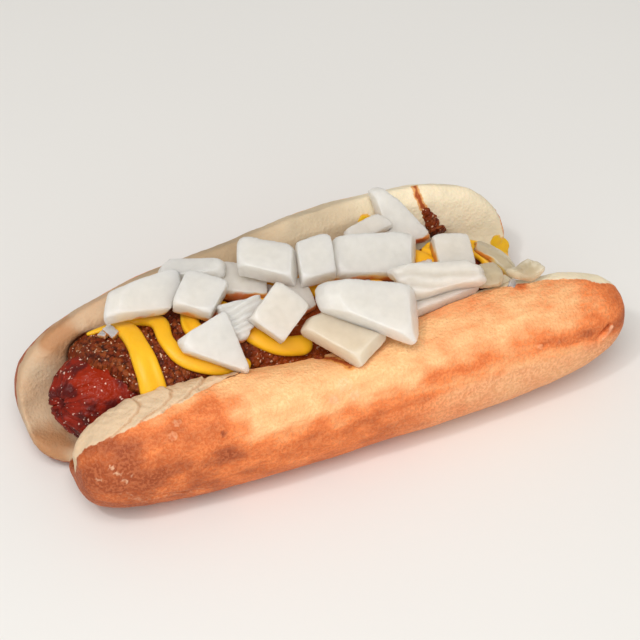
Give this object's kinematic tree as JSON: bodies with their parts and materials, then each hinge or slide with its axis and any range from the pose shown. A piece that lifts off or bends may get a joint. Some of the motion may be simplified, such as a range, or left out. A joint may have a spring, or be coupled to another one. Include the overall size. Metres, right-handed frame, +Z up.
{
  "type": "hot dog",
  "caption": "Frankfurter in a split bun opened like a book, covered with meat sauce, zigzag mustard and coarsely diced onion.",
  "frame": {"origin": "on the flat underside of the bun, below the middle of its fold", "axes": "+Z up, +X along the bun towards the end where the lower half reaches further, -Y towards the lower half and +Y towards the higher half"},
  "size_m": [0.1458, 0.0679, 0.0426],
  "materials": {
    "bread": "matte baked crust, orange brown at the ends and yellower along the middle, with pale crumb on the cut faces",
    "sausage": "moist glossy cooked skin, wrinkled at the tip",
    "meat_sauce": "wet grainy ground meat sauce with small bright glints",
    "mustard": "smooth satin yellow mustard",
    "raw_onion": "moist, translucent white, stained orange at some edges"
  },
  "bodies": {
    "root": {"bun": "bread", "frankfurter": "sausage", "sauce": "meat_sauce", "onion_01": "raw_onion", "onion_02": "raw_onion", "onion_03": "raw_onion", "onion_04": "raw_onion", "onion_05": "raw_onion", "onion_06": "raw_onion", "onion_07": "raw_onion", "onion_08": "raw_onion", "onion_09": "raw_onion", "onion_10": "raw_onion", "onion_11": "raw_onion", "onion_12": "raw_onion", "onion_13": "raw_onion", "onion_14": "raw_onion", "onion_15": "raw_onion", "onion_16": "raw_onion", "onion_17": "raw_onion", "onion_18": "raw_onion", "onion_19": "raw_onion", "onion_20": "raw_onion", "onion_21": "raw_onion"}
  },
  "joints": []
}
